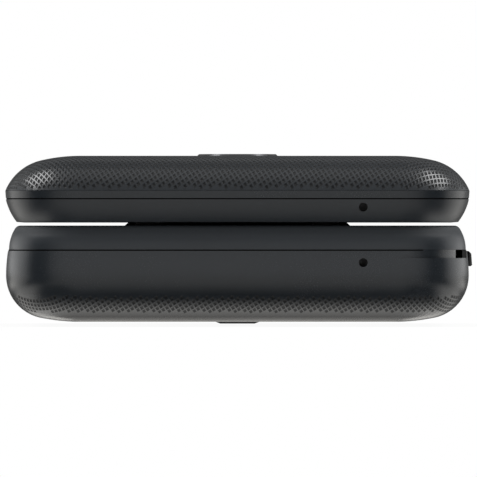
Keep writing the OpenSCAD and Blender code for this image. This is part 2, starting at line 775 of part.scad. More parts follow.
module back_cover() {
    top = back_h - parting_gap;
    nail_x = base_x + 6.97;
    color("#3a3d40") difference() {
        carried_round(concat(back_edge(0), without_first(lean_edge()),
                             rebated(last(lean_edge()), back_h - seat)), base_w, base_l);
        back_inside(0);
        // Microphone hole in the free end
        translate([mic_x, -base_l / 2 - 1, mic_z]) rotate([-90, 0, 0]) cylinder(r = mic_r, h = 4);
        // Seat of the loudspeaker grille
        translate([0, speaker_y, 0]) {
            slab(grille_w + 2 * fit, grille_l + 2 * fit, 1.2, -1, 0.7);
            slab(grille_w - 1.6, grille_l - 1.6, 0.6, -1, 2);
        }
        // Headset jack, charging port and volume rocker
        translate([-base_w / 2 - 1, jack_y, jack_z]) rotate([0, 90, 0]) cylinder(r = jack_hole_r, h = 5);
        translate([-base_w / 2 - 1, port_y, port_z + port_h / 2]) rotate([0, 90, 0])
            linear_extrude(5) polygon(rounded_rect(port_h + 0.7, port_w + 0.7, (port_h + 0.7) / 2 - eps));
        block([base_w / 2 - 3, base_w],
              [rocker_y - rocker_l / 2 - key_play, rocker_y + rocker_l / 2 + key_play],
              [rocker_z - key_play, back_h + 1]);
        // Slot for a fingernail at the corner, and the scoop that deepens towards it
        block([nail_x, nail_x + nail_w], [-base_l, -base_y], [top - nail_h, back_h + 1]);
        difference() {
            block([base_x, nail_x + nail_w], [-base_l, -base_y], [top - nail_h, back_h + 1]);
            hole_z([base_x - 0.7 * nail_depth, -base_y - 0.68 * nail_depth],
                   corner_r - back_lean - 0.44 * nail_depth, 0, back_h + 2);
        }
    }
}

module speaker_grille() {
    slots = 5;
    pitch = 2;
    color("#2b2d2f") translate([0, speaker_y, 0]) difference() {
        union() {
            slab(grille_w, grille_l, 1.2, 0, 0.7 - seat);
            rotate([90, 0, 0]) linear_extrude(ridge_l, center = true)
                polygon([[-ridge_w / 2 - ridge_slope, eps], [-ridge_w / 2, -ridge_h],
                         [ridge_w / 2, -ridge_h],
                         [ridge_w / 2 + ridge_slope, eps]]);
        }
        for (i = [0 : slots - 1], s = [-1, 1]) translate([(i - (slots - 1) / 2) * pitch, s * 1.75, 0])
            slab(1.2, 0.7, 0.3, -1, 1);
    }
}

// Outline shared by the sheets of the keypad stack, with room for the screw posts
module keypad_sheet(w, y0, y1, r, z0, z1) {
    difference() {
        translate([0, (y0 + y1) / 2, 0]) slab(w, y1 - y0, r, z0, z1);
        for (at = base_screws_at) hole_z(at, post_r + free, 0, lid_top);
    }
}

module main_circuit_board() {
    inset = chassis_inset + chassis_wall + free;
    end = base_l / 2 - inset;
    color("#1d5a3a") difference() {
        keypad_sheet(base_w - 2 * inset, -end, end, corner_r - inset, board_z, board_z + board_t);
        block([-base_w, jack_mouth + jack_l + 1.2 + free], [jack_y - 3 - free, jack_y + 3 + free],
              [0, lid_top]);
    }
}

module under_keys(z0, z1) {
    edge = 1;
    keypad_sheet(base_w - 2 * keypad_side, free_y + keypad_free - edge,
                 hinge_y - keypad_hinge + edge, key_r + edge,
                 z0, z1);
}

module dome_sheet() {
    color("#c9c4b0") under_keys(dome_z + seat, dome_z + dome_t);
}

module keypad_mat() {
    color("#707478") under_keys(mat_z + seat, mat_z + mat_t);
}

module battery() {
    color("#2a2c30") translate([0, battery_y, 0])
        slab(battery_w, battery_l, 1, battery_z, battery_z + battery_t);
}

module battery_contacts() {
    back = battery_y - battery_l / 2 - 0.1;
    color("#b8923e") {
        block([-4.5, 4.5], [back - 5, back - 1], [3, board_z - seat]);
        for (x = [-3, 0, 3]) block([x - 0.5, x + 0.5], [back - 1 - eps, back], [3.6, 5.2]);
    }
}

module sim_socket() {
    y = battery_y - battery_l / 2 - 8.5;
    skin = 0.35;
    top = chassis_z - seat;
    color("#a9abad") difference() {
        block([-sim_w / 2, sim_w / 2], [y - sim_l, y], [top - sim_t, top]);
        block([-sim_w / 2 + skin, sim_w / 2 - skin], [y - sim_l - 1, y - skin],
              [top - sim_t + skin, top - skin]);
    }
}

module loudspeaker() {
    rim = 1.2;
    color("#1f2022") translate([0, speaker_y, 0]) difference() {
        slab(speaker_w, speaker_l, 2, cover_wall + free, chassis_z - seat);
        slab(speaker_w - 2 * rim, speaker_l - 2 * rim, 1, 0, cover_wall + free + 0.4);
    }
}

module vibration_motor() {
    color("#b0b2b4")
        hole_z([-sim_w / 2 - motor_r - 1.5, free_y + 13], motor_r, chassis_z - seat - motor_t,
               chassis_z - seat);
}

module base_microphone() {
    back = -base_l / 2 + chassis_inset + chassis_wall + 0.1;
    color("#8b8d90") difference() {
        block([mic_x - 1.7, mic_x + 1.7], [back, back + 2.2], [mic_z - 0.7, board_z - seat]);
        translate([mic_x, back - eps, mic_z]) rotate([-90, 0, 0]) cylinder(r = 0.2, h = 0.6);
    }
}

module charging_port() {
    z = port_z + port_h / 2;
    tongue = 0.35;
    color("#aeb0b3") {
        difference() {
            translate([port_mouth, port_y, z]) rotate([0, 90, 0]) linear_extrude(port_depth)
                polygon(rounded_rect(port_h, port_w, port_h / 2 - eps));
            translate([port_mouth - 1, port_y, z]) rotate([0, 90, 0]) linear_extrude(port_depth)
                polygon(rounded_rect(port_h - 2 * port_wall, port_w - 2 * port_wall,
                                     port_h / 2 - port_wall - eps));
        }
        block([port_mouth + 1, port_mouth + port_depth - 1 + eps], [port_y - 3.3, port_y + 3.3],
              [z - tongue, z + tongue]);
    }
}

module headset_jack() {
    shoulder = jack_mouth + 1.8;
    color("#1a1b1d") difference() {
        union() {
            translate([jack_mouth, jack_y, jack_z]) rotate([0, 90, 0])
                cylinder(r = jack_nose_r, h = shoulder - jack_mouth + eps);
            block([shoulder, jack_mouth + jack_l + 1], [jack_y - 3, jack_y + 3],
                  [jack_z - 2.7, jack_z + jack_nose_r]);
        }
        translate([jack_mouth - 1, jack_y, jack_z]) rotate([0, 90, 0]) cylinder(r = jack_r, h = jack_l + 1);
    }
}

module base_screws() {
    head_z = chassis_z - seat;
    color("#8d9093") for (at = base_screws_at) difference() {
        union() {
            hole_z(at, screw_r, head_z - 0.6, plate_z - 0.6);
            hole_z(at, head_r, head_z - 0.6, head_z);
        }
        for (turn = [0, 90])
            translate([at.x, at.y, head_z - 0.6]) rotate([0, 0, turn]) cube([1.5, 0.3, 0.5], center = true);
    }
}

module volume_rocker() {
    out = base_w / 2 + rocker_out;
    bevel = 0.3;
    color("#1c1d1f") translate([0, rocker_y, 0]) {
        translate([0, 0, rocker_z]) intersection() {
            linear_extrude(rocker_h)
                polygon([[rocker_x, -rocker_l / 2], [out - bevel, -rocker_l / 2],
                         [out, -rocker_l / 2 + 2 * bevel],
                         [out - 0.12, 0], [out, rocker_l / 2 - 2 * bevel], [out - bevel, rocker_l / 2],
                         [rocker_x, rocker_l / 2]]);
            rotate([90, 0, 0]) linear_extrude(2 * rocker_l, center = true)
                polygon([[0, 0], [out - bevel / 2, 0], [out, bevel / 2], [out - 0.1, rocker_h - bevel],
                         [out - 0.1 - bevel, rocker_h], [0, rocker_h]]);
        }
        block([rocker_x, rocker_x + rocker_flange], [-rocker_l / 2 - 0.8, rocker_l / 2 + 0.8],
              [rocker_z - 0.3, rocker_z + rocker_h]);
    }
}

// Keys

module key_cap(k) {
    edge = 0.3;
    color("#4a4d50") translate(k[1]) {
        slab(k[2] + 2 * flange_w - 2 * key_play, k[3] + 2 * flange_w - 2 * key_play,
             k[4] + flange_w - key_play,
             key_bottom, key_bottom + flange_t);
        hull() {
            slab(k[2], k[3], k[4], key_bottom + flange_t - eps, key_top - edge);
            slab(k[2] - 2 * edge, k[3] - 2 * edge, k[4] - edge, key_top - eps, key_top);
        }
    }
}

module nav_ring() {
    bore = ok_r + key_play;
    z0 = mat_z + mat_t + nav_play;
    flange_top = plate_z - nav_play;
    color("#505356") translate([0, nav_y, 0]) rotate_extrude()
        polygon([[bore + flange_w, z0], [nav_r + flange_w, z0], [nav_r + flange_w, flange_top],
                 [nav_r, flange_top], [nav_r, key_top - 0.4], [nav_r - 0.3, key_top - 0.12],
                 [nav_r - 2.6, key_top], [bore + 1.2, key_top - 0.12], [bore, key_top - 0.4],
                 [bore, z0 + 0.5], [bore + flange_w, z0 + 0.5]]);
}

module ok_key() {
    rim = ok_r + flange_w - key_play;
    color("#5a5d60") translate([0, nav_y, 0]) rotate_extrude()
        polygon([[0, key_bottom], [rim, key_bottom], [rim, key_bottom + flange_t],
                 [ok_r, key_bottom + flange_t], [ok_r, key_top - 0.35], [ok_r - 0.35, key_top - 0.1],
                 [ok_r * 0.5, key_top], [0, key_top]]);
}

lid_cover();
lid_frame();
outer_display_window();
outer_display_panel();
camera_ring();
camera_lens();
camera_module();
main_display_window();
main_display_panel();
earpiece_receiver();
earpiece_mesh();
lid_circuit_board();
lid_microphone();
lid_bumpers();
lid_screws();
hinge_shaft();
hinge_pin();
lid_flex();
front_housing();
rear_frame();
back_cover();
speaker_grille();
main_circuit_board();
dome_sheet();
keypad_mat();
battery();
battery_contacts();
sim_socket();
loudspeaker();
vibration_motor();
base_microphone();
charging_port();
headset_jack();
hinge_can();
hinge_follower();
hinge_spring();
main_flex();
base_screws();
volume_rocker();
nav_ring();
ok_key();
for (k = flat_keys) key_cap(k);
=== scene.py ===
import math

import bmesh
import bpy
from mathutils import Matrix, Vector


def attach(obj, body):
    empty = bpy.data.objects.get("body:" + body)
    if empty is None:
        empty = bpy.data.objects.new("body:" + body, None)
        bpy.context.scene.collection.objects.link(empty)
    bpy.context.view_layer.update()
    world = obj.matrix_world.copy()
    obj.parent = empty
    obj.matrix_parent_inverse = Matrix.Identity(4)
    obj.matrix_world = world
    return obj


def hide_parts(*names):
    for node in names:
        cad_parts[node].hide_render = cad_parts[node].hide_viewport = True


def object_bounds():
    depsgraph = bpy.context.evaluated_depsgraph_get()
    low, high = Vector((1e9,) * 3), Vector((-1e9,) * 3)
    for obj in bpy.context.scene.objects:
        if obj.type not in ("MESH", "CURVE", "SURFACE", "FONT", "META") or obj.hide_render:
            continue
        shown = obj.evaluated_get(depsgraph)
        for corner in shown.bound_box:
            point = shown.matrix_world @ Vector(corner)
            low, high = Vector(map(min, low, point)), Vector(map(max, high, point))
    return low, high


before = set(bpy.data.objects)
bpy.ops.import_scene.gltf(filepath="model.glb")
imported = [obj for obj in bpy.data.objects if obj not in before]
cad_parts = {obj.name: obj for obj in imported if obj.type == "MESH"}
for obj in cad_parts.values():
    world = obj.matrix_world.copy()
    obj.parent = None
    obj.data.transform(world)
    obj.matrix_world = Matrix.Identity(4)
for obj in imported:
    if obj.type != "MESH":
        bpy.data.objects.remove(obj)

cad_box = [list(corner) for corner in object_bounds()]

# Studio. The phone lies on its back on a pale floor, and a long lens looks square-on at its free
# end. A wide softbox hangs over it and two smaller ones hang high on either side of it, so the end
# that faces the camera is lit by the room alone and only its corners catch the boxes.
scene = bpy.context.scene
scene.view_settings.view_transform = "Standard"
free_end = -0.0525
reach = 2.4
widest = 0.0065
view_width = 0.05396
view_centre = (0.000124, 0.009434)
lens = bpy.data.cameras.new("camera")
lens.lens = lens.sensor_width * (reach + widest) / view_width
camera = bpy.data.objects.new("camera", lens)
camera.location = (view_centre[0], free_end - reach, view_centre[1])
camera.rotation_euler = (math.pi / 2, 0, 0)
scene.collection.objects.link(camera)
scene.camera = camera


class Tone:
    """One output socket of a node tree. Sums on it add Math nodes."""

    def __init__(self, socket):
        self.socket = socket

    def node(self, kind, settings=None, inputs=None, out=0):
        """Adds a node of a kind, with its settings and the values or links of its sockets."""
        tree = self.socket.id_data
        made = tree.nodes.new(kind)
        for name, value in (settings or {}).items():
            if name == "stops":
                stops = made.color_ramp.elements
                for i, (place, colour) in enumerate(value):
                    stop = stops[i] if i < 2 else stops.new(place)
                    stop.position = place
                    stop.color = colour
            else:
                setattr(made, name, value)
        for name, value in (inputs or {}).items():
            if isinstance(value, Tone):
                tree.links.new(value.socket, made.inputs[name])
            else:
                made.inputs[name].default_value = value
        return Tone(made.outputs[out])

    def sum(self, operation, a, b):
        return self.node("ShaderNodeMath", {"operation": operation}, {0: a, 1: b})

    def __add__(self, other):
        return self.sum("ADD", self, other)

    def __radd__(self, other):
        return self.sum("ADD", other, self)

    def __sub__(self, other):
        return self.sum("SUBTRACT", self, other)

    def __rsub__(self, other):
        return self.sum("SUBTRACT", other, self)

    def __mul__(self, other):
        return self.sum("MULTIPLY", self, other)

    def __rmul__(self, other):
        return self.sum("MULTIPLY", other, self)


def grey(level):
    return (level, level, level, 1)


def ramp(factor, stops):
    """A grey that runs through stops, each a place and a level."""
    return factor.node("ShaderNodeValToRGB",
                       {"stops": [(place, grey(level)) for place, level in stops]}, {0: factor})


def eased(tone, low, high):
    """0 at low and 1 at high, with a smooth rise between them."""
    return tone.node("ShaderNodeMapRange", {"interpolation_type": "SMOOTHSTEP"},
                     {"Value": tone, "From Min": low, "From Max": high})


def vectors(operation, a, b=(0, 0, 0), out=0):
    """Vector maths on a tone, with a second vector where the operation takes one."""
    return a.node("ShaderNodeVectorMath", {"operation": operation}, {0: a, 1: b}, out)


def part_of(vector, axis):
    return vector.node("ShaderNodeSeparateXYZ", None, {0: vector}, axis)


def past_plan(place, x0, y0):
    """How a place lies past a plan whose corner centres stand at x0, y0: the way and its length."""
    way = vectors("MAXIMUM", vectors("SUBTRACT", vectors("ABSOLUTE", place), (x0, y0, 1)))
    return way, vectors("LENGTH", way, out="Value")


room = bpy.data.worlds.new("room")
room.use_nodes = True
scene.world = room
walls = room.node_tree.nodes["Background"]
walls.inputs["Color"].default_value = grey(1)
ray = room.node_tree.nodes.new("ShaderNodeLightPath")
seen = Tone(ray.outputs["Is Camera Ray"])
mirrored = Tone(ray.outputs["Is Glossy Ray"]) + Tone(ray.outputs["Is Transmission Ray"])
toward = seen.node("ShaderNodeTexCoord", out="Generated")
along = part_of(toward, "Y")
up = part_of(toward, "Z")
round_stops = ((0.00, 0.39), (0.06, 0.38), (0.17, 0.22), (0.23, 0.03), (0.27, 0), (0.46, 0),
               (0.51, 0.34), (0.60, 0.62), (0.76, 0.95), (0.86, 0.85), (0.95, 0.12), (1.00, 0.09))
upper_stops = ((0.00, 0.155), (0.25, 0.24), (0.50, 0.24), (0.75, 0.09), (0.90, 0.11), (1.00, 0.24))
rear_shade = 0.5 * eased(up, 0.02, 0.25) * eased(along, 0.25, 0.60)
level_tone = ramp(0.5 + 0.5 * along, round_stops) * (1 - rear_shade)
upper_tone = ramp(0.5 + 0.5 * along, upper_stops)
wall_tone = 2.2 * (level_tone + eased(up, 0.25, 0.60) * (upper_tone - level_tone))
ambient = 0.34 + 0.16 * up
brightness = seen + (1 - seen) * (mirrored * wall_tone + (1 - mirrored) * ambient)
room.node_tree.links.new(brightness.socket, walls.inputs["Strength"])

aim = Vector((0, 0, 0.01))
for name, place, width, depth, watts in (
        ("softbox_over", (0.0, -0.06, 1.00), 1.4, 0.6, 1.35),
        ("kicker_left", (-0.555, 0.13, 0.695), 0.48, 0.40, 4.6),
        ("kicker_right", (0.555, 0.13, 0.695), 0.48, 0.40, 4.6)):
    lamp = bpy.data.lights.new(name, "AREA")
    lamp.shape = "RECTANGLE"
    lamp.size = width
    lamp.size_y = depth
    lamp.energy = watts
    softbox = bpy.data.objects.new(name, lamp)
    softbox.location = place
    softbox.rotation_euler = (aim - Vector(place)).to_track_quat("-Z", "Y").to_euler()
    scene.collection.objects.link(softbox)

floor_radius = 1.6
floor_gap = 0.00002
floor_mesh = bpy.data.meshes.new("floor")
sheet = bmesh.new()
bmesh.ops.create_circle(sheet, segments=96, radius=floor_radius, cap_ends=True)
bmesh.ops.translate(sheet, verts=sheet.verts, vec=(0, 0, cad_box[0][2] - floor_gap))
sheet.to_mesh(floor_mesh)
sheet.free()
floor_paint = bpy.data.materials.new("floor_paint")
floor_paint.use_nodes = True
nodes = floor_paint.node_tree.nodes
nodes.remove(nodes["Principled BSDF"])
ray = nodes.new("ShaderNodeLightPath")
by_camera = Tone(ray.outputs["Is Camera Ray"])
by_gloss = Tone(ray.outputs["Is Glossy Ray"])
seen = by_camera + Tone(ray.outputs["Is Transmission Ray"])

# What a glossy surface mirrors from the floor is painted reflection, not the floor's lit colour: an
# emission that glossy rays alone see, whose strength goes by how far outside the phone's plan the
# floor is met, and on which bearing from the free end: a painted pale line under the end's edge, a
# painted shadow in front of it, painted light beside the phone and painted shade behind it.
plan_x, plan_y, plan_corner = 0.0177, 0.0439, 0.0085
place = seen.node("ShaderNodeTexCoord", out="Object")
way_out, distance = past_plan(place, plan_x, plan_y)
away = distance - plan_corner
endways = part_of(place, "Y") + plan_y
heading = seen.node("ShaderNodeCombineXYZ", None, {0: part_of(way_out, "X"), 1: endways})
bearing = part_of(vectors("NORMALIZE", heading), "Y")
beside = eased(bearing, -0.72, -0.35)
behind = eased(bearing, 0.05, 0.6)
corner = eased(bearing, -1.0, -0.93)
outer = eased(away, 0.006, 0.018)
under = eased(away, -0.0075, -0.0085)
mirror_stops = ((0.00, 0.26), (0.075, 0.175), (0.205, 0.17), (0.275, 0.49), (0.305, 0.75),
                (0.345, 0.95), (0.40, 0.55), (0.455, 0.20), (0.48, 0.02), (0.58, 0.01),
                (0.67, 0.09), (0.88, 0.20), (1.00, 0.20))
outward = away.sum("MAXIMUM", away, 0.0)
front_tone = ramp(0.45 + 50 * (away - 0.6 * corner * outward), mirror_stops)
near_tone = 2.3 * front_tone * (1 - beside) + (1.4 - 1.3 * behind) * beside
near_tone = near_tone + under * (0.7 - near_tone)
round_tone = ramp(0.56 + 0.5 * bearing, round_stops)
painted_reflection_tone = near_tone * (1 - outer) + 1.75 * round_tone * outer

far = eased(away, 0.002, 0.03)
matt = seen.node("ShaderNodeBsdfDiffuse", None, {"Color": grey(0.8)})
white = seen.node("ShaderNodeEmission", None, {"Color": grey(1), "Strength": 1.0})
# Painted reflection: the emission that glossy rays alone see on the floor.
painted_reflection_emission = seen.node("ShaderNodeEmission", None, {"Color": (1, 0.98, 0.94, 1), "Strength": painted_reflection_tone})
clear = seen.node("ShaderNodeBsdfTransparent")
below = seen.node("ShaderNodeNewGeometry", out="Backfacing") * by_camera
paint = seen.node("ShaderNodeMixShader", None, {0: seen * (0.94 + 0.06 * far), 1: matt, 2: white})
paint = seen.node("ShaderNodeMixShader", None, {0: by_gloss, 1: paint, 2: painted_reflection_emission})
paint = seen.node("ShaderNodeMixShader", None, {0: below, 1: paint, 2: clear})
floor_paint.node_tree.links.new(paint.socket, nodes["Material Output"].inputs["Surface"])
floor_mesh.materials.append(floor_paint)
floor = bpy.data.objects.new("floor", floor_mesh)
scene.collection.objects.link(floor)

# Rear frame and the small moulded pieces behind it: glass-filled nylon, black, injection
# moulded. The frame carries the battery bay and every loose piece of the base; the earpiece,
# the camera body, the loudspeaker and the headset jack have the same plain black mouldings.


def finish(name, fixed):
    """A new material with its fixed numbers set, and the place on the piece that wears it."""
    material = bpy.data.materials.new(name)
    material.use_nodes = True
    shader = material.node_tree.nodes["Principled BSDF"]
    for socket, value in fixed.items():
        shader.inputs[socket].default_value = value
    coordinates = material.node_tree.nodes.new("ShaderNodeTexCoord")
    return material, Tone(coordinates.outputs["Object"])


def wire(material, varying):
    """Links what varies over a surface to the sockets of its material."""
    shader = material.node_tree.nodes["Principled BSDF"]
    for socket, tone in varying.items():
        material.node_tree.links.new(tone.socket, shader.inputs[socket])


def noise(place, size, detail=2.0):
    """Soft spots about size millimetres across."""
    return place.node("ShaderNodeTexNoise", None,
                      {"Vector": place, "Scale": 1000 / size, "Detail": detail})


def between(factor, dark, light):
    """A colour that goes from dark to light with a factor."""
    return factor.node("ShaderNodeMix", {"data_type": "RGBA"},
                       {0: factor, 6: (*dark, 1), 7: (*light, 1)}, 2)


def relief(height, depth):
    """A surface that rises by up to depth millimetres with height."""
    return height.node("ShaderNodeBump", None,
                       {"Strength": 1.0, "Distance": depth / 1000, "Height": height})


def moulded(name, colour, roughness, grain, depth, fixed=None, shades=(0.86, 1.16), matt=None):
    """Moulded plastic: a spark-eroded grain, with slow changes of shade and gloss. Where matt is
    given, its last value is added to the roughness from its first height up to its second."""
    material, place = finish(name, fixed or {})
    slow = noise(place, 9, 4.0)
    fine = noise(place, grain)
    shade = between(slow, [c * shades[0] for c in colour], [c * shades[1] for c in colour])
    gloss = roughness + 0.10 * (slow - 0.5) + 0.10 * (fine - 0.5)
    if matt:
        low, high, more = matt
        gloss = gloss + more * eased(part_of(place, "Z"), low, high)
    wire(material, {"Base Color": shade, "Normal": relief(fine, depth), "Roughness": gloss})
    return material


def dress(material, *names):
    """Gives CAD nodes a finish."""
    for name in names:
        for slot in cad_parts[name].material_slots:
            slot.material = material


dress(moulded("filled_nylon", (0.009, 0.009, 0.0085), 0.6, 0.22, 0.012, {"Specular IOR Level": 0.15}),
      "rear_frame", "camera_module", "earpiece_receiver", "headset_jack", "loudspeaker")

# Circuit boards: glass-fibre laminate under a green mask, with copper tracks that show through
# it as lighter lines and gilded pads left open in it. They are screwed down with the shells.
board_mask, place = finish("board_mask", {"Coat Roughness": 0.2})
weave = noise(place, 0.9)
cells = place.node("ShaderNodeTexVoronoi", {"feature": "DISTANCE_TO_EDGE", "distance": "EUCLIDEAN"},
                   {"Vector": place, "Scale": 330.0})
track = place.node("ShaderNodeMapRange", None,
                   {"Value": cells, "From Min": 0.05, "From Max": 0.09, "To Min": 1.0, "To Max": 0.0})
spots = place.node("ShaderNodeTexVoronoi", {"feature": "F1", "distance": "CHEBYCHEV"},
                   {"Vector": place, "Scale": 230.0})
pad = place.node("ShaderNodeMapRange", None,
                 {"Value": spots, "From Min": 0.13, "From Max": 0.15, "To Min": 1.0, "To Max": 0.0})
laminate = between(track * 0.8 + weave * 0.2, (0.006, 0.045, 0.022), (0.018, 0.12, 0.05))
gilded = place.node("ShaderNodeMix", {"data_type": "RGBA"},
                    {0: pad, 6: laminate, 7: (0.75, 0.52, 0.22, 1)}, 2)
wire(board_mask, {"Base Color": gilded, "Metallic": pad, "Roughness": 0.42 - 0.12 * pad,
                  "Coat Weight": 0.5 - 0.5 * pad, "Normal": relief(track + pad, 0.03)})
dress(board_mask, "main_circuit_board", "lid_circuit_board")

# Flexible circuits and the dome sheet: amber polyimide film with copper lines inside it. The
# dome sheet is glued to the board; the ribbon is rolled up in the hollow hinge pin.
film, place = finish("amber_film", {"IOR": 1.6})
lines = place.node("ShaderNodeTexWave", {"wave_type": "BANDS", "bands_direction": "X"},
                   {"Vector": place, "Scale": 480.0, "Distortion": 0.4})
spread = noise(place, 2.5)
wire(film, {"Base Color": between(lines, (0.28, 0.09, 0.018), (0.50, 0.20, 0.05)),
            "Roughness": 0.24 + 0.16 * spread, "Normal": relief(lines, 0.008)})
dress(film, "main_flex", "lid_flex", "dome_sheet")

# Pressed and turned steel: the hinge's can, cam, follower, spring and pin, the port's shell, the
# card socket, the motor and the screws. Drawn bright, with fine marks of the tool along it.
steel, place = finish("drawn_steel", {"Metallic": 1.0})
drawn = place.node("ShaderNodeMapping", None, {"Vector": place, "Scale": (400, 5200, 5200)})
marks = place.node("ShaderNodeTexNoise", None, {"Vector": drawn, "Scale": 1.0, "Detail": 2.0})
stain = noise(place, 3)
bright = between(0.6 * marks + 0.4 * stain, (0.34, 0.34, 0.35), (0.62, 0.62, 0.63))
wire(steel, {"Base Color": bright, "Roughness": 0.24 + 0.18 * marks, "Normal": relief(marks, 0.006)})
dress(steel, "hinge_shaft", "hinge_pin", "hinge_can", "hinge_follower", "hinge_spring",
      "base_screws", "lid_screws", "charging_port", "sim_socket", "vibration_motor")

# Microphones: small cans soldered to the boards behind their holes, each under a patch of felt
# that keeps dust out. The felts' greys are painted light: far paler than dark felt, so that the
# bottoms of the holes show lit, the base's paler than the lid's.
for name, tone, node in (("lid_felt_painted_light", 0.11, "lid_microphone"),
                         ("base_felt_painted_light", 0.40, "base_microphone")):
    dress(moulded(name, [tone] * 3, 0.85, 0.06, 0.02, {"Specular IOR Level": 0.2}), node)

# Battery contacts: phosphor bronze blades, gilded, in a block that the rear frame holds. They
# press on the pads of the battery.
gilding, place = finish("gilded_blades", {"Metallic": 1.0})
rub = noise(place, 0.5)
wire(gilding, {"Base Color": between(rub, (0.62, 0.40, 0.13), (0.85, 0.62, 0.26)),
               "Roughness": 0.18 + 0.2 * rub, "Normal": relief(rub, 0.004)})
dress(gilding, "battery_contacts")

# Keypad mat: one sheet of grey silicone rubber over the domes, seen in the gaps of the keys. The
# lid's two feet, which keep the halves apart, are cut from a darker rubber and glued in.
for name, tone, node in (("silicone", 0.045, "keypad_mat"), ("foot_rubber", 0.014, "lid_bumpers")):
    rubber, place = finish(name, {"Specular IOR Level": 0.35, "Sheen Weight": 0.15})
    bloom = noise(place, 1.6, 4.0)
    pores = noise(place, 0.12)
    wire(rubber, {"Base Color": between(bloom, [tone * 0.8] * 3, [tone * 1.25] * 3),
                  "Roughness": 0.68 + 0.16 * (bloom - 0.5), "Normal": relief(pores, 0.012)})
    dress(rubber, node)

# Keys: hard caps moulded with a flange that the housing holds down. The figures are printed on
# top in white, the two call keys in green and red, and the caps have a soft lacquer.
key_low = 9.29
key_high = 10.8
key_flange = 0.27
key_play = 0.15
key_corner = 1.6
print_lift = 0.012
digit_size = (13.2, 8.125)
digit_pitch = (14.6, 9.525)
digit_row = -9.96
digit_height = 3.4
side_size = (8.8, 10.3)
side_x = 16.8
soft_y = 22.85
call_y = 11.15
key_lacquer = moulded("key_lacquer", (0.020, 0.021, 0.023), 0.36, 0.16, 0.006,
                      {"Coat Weight": 0.25, "Coat Roughness": 0.22})


def printed(name, colour):
    """Ink printed on a cap: nearly opaque, thin in spots."""
    ink, place = finish(name, {})
    cover = noise(place, 0.25)
    wire(ink, {"Base Color": between(cover, [c * 0.82 for c in colour], colour),
               "Roughness": 0.42 + 0.2 * cover})
    return ink


white_ink = printed("white_ink", (0.72, 0.73, 0.74))
green_ink = printed("green_ink", (0.03, 0.42, 0.09))
red_ink = printed("red_ink", (0.55, 0.025, 0.02))


def carried(bm, stations, x0, y0, turns):
    """Carries a section round a rounded rectangle whose corner centres stand at x0, y0. Returns
    the edges of the first and of the last ring."""
    half_step = Matrix.Rotation(math.pi / (4 * turns), 4, "Z")
    ring = bmesh.ops.create_circle(bm, segments=4 * turns, radius=1, matrix=half_step)["verts"]
    for v in ring:
        v.co += Vector((math.copysign(x0, v.co.x), math.copysign(y0, v.co.y), 0))
    edges = first = list({e for v in ring for e in v.link_edges})
    for i, (u, z) in enumerate(stations):
        if i:
            grown = bmesh.ops.extrude_edge_only(bm, edges=edges)["geom"]
            ring = {part for part in grown if isinstance(part, bmesh.types.BMVert)}
            edges = [part for part in grown
                     if isinstance(part, bmesh.types.BMEdge) and ring.issuperset(part.verts)]
        for v in ring:
            corner = Vector((math.copysign(x0, v.co.x), math.copysign(y0, v.co.y)))
            v.co = (*(corner + (v.co.to_2d() - corner).normalized() * u), z)
    return first, edges


def closed(bm, *rings):
    """Closes a shape at rings of edges and turns its faces outwards."""
    for ring in rings:
        bmesh.ops.contextual_create(bm, geom=ring)
    bmesh.ops.recalc_face_normals(bm, faces=bm.faces)


def joined(bm, part):
    """Adds a part to a shape and lets go of it."""
    made = bpy.data.meshes.new("part")
    part.to_mesh(made)
    part.free()
    bm.from_mesh(made)
    bpy.data.meshes.remove(made)


def piece_of(name, bm, materials, body, replaced, sharp=30):
    """Makes a piece of a shape in millimetres, lays its finishes on it and puts it on its body."""
    bmesh.ops.scale(bm, vec=(0.001, 0.001, 0.001), verts=bm.verts)
    mesh = bpy.data.meshes.new(name)
    bm.to_mesh(mesh)
    bm.free()
    mesh.shade_smooth()
    mesh.set_sharp_from_angle(angle=math.radians(sharp))
    for material in materials:
        mesh.materials.append(material)
    piece = bpy.data.objects.new(name, mesh)
    scene.collection.objects.link(piece)
    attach(piece, body)
    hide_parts(*replaced)
    return piece


def figure(bm, sign, height, least=0.45):
    """Adds a figure of a height, centred. A low sign is scaled as if it were least high."""
    curve = bpy.data.curves.new("figure", "FONT")
    curve.body = sign
    curve.resolution_u = 6
    holder = bpy.data.objects.new("figure", curve)
    flat = bpy.data.meshes.new_from_object(holder)
    lo = [min(v.co[i] for v in flat.vertices) for i in (0, 1)]
    hi = [max(v.co[i] for v in flat.vertices) for i in (0, 1)]
    middle = Matrix.Translation((-(lo[0] + hi[0]) / 2, -(lo[1] + hi[1]) / 2, 0))
    flat.transform(Matrix.Scale(height / max(hi[1] - lo[1], least), 4) @ middle)
    bm.from_mesh(flat)
    bpy.data.objects.remove(holder)
    bpy.data.curves.remove(curve)
    bpy.data.meshes.remove(flat)


def bar(bm, width, length, place=(0, 0), turn=0.0):
    """Adds a bar with round ends."""
    x = max(width - length, 0) / 2
    y = max(length - width, 0) / 2
    made = bmesh.ops.create_circle(bm, segments=24, radius=min(width, length) / 2, cap_ends=True,
                                   matrix=Matrix.Rotation(math.pi / 24, 4, "Z"))["verts"]
    for v in made:
        v.co += Vector((math.copysign(x, v.co.x), math.copysign(y, v.co.y), 0))
    bmesh.ops.rotate(bm, verts=made, matrix=Matrix.Rotation(turn, 3, "Z"))
    bmesh.ops.translate(bm, verts=made, vec=(*place, 0))


def arrow(bm):
    """Adds an arrow that points left: a shaft and two barbs."""
    bar(bm, 4.4, 0.5)
    for side in (1, -1):
        bar(bm, 2.3, 0.5, (-1.32, 0.63 * side), math.radians(45 * side))


